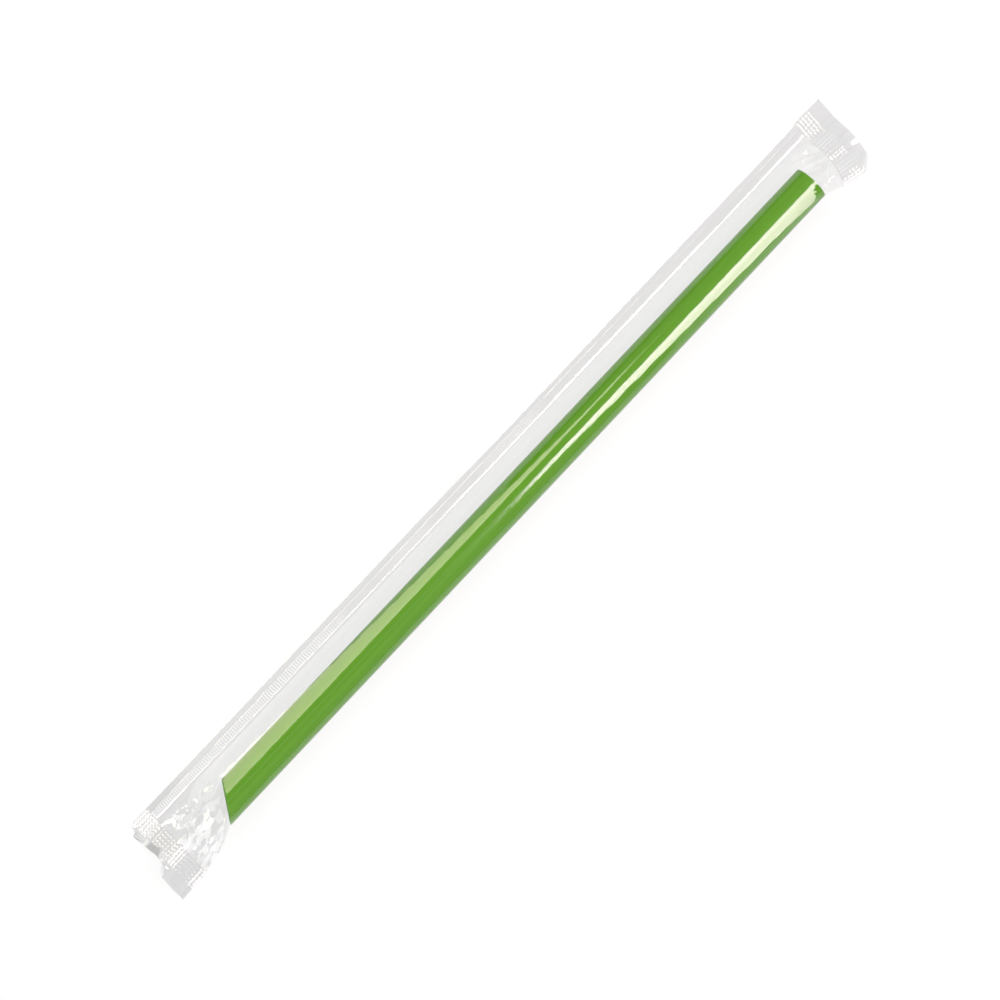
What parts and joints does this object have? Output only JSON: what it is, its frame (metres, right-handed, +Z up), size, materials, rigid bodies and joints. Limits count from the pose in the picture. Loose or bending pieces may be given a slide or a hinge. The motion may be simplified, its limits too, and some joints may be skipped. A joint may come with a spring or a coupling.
{
  "type": "wrapped drinking straw",
  "caption": "Wide plastic drinking straw with a slanted end and a square end, sealed lengthwise and at both ends in a clear folded film wrapper.",
  "frame": {"origin": "bottom centre of the sealed pack, on the surface that it lies on", "axes": "+X along the straw from its slanted end to its square end, +Y from the folded side to the flap with the long seal, +Z up"},
  "size_m": [0.2702, 0.0234, 0.0103],
  "materials": {
    "straw_plastic": "glossy green extruded plastic",
    "clear_film": "clear glossy film, thin enough to crinkle"
  },
  "bodies": {
    "root": {"straw": "straw_plastic", "film_wrapper": "clear_film"}
  },
  "joints": []
}
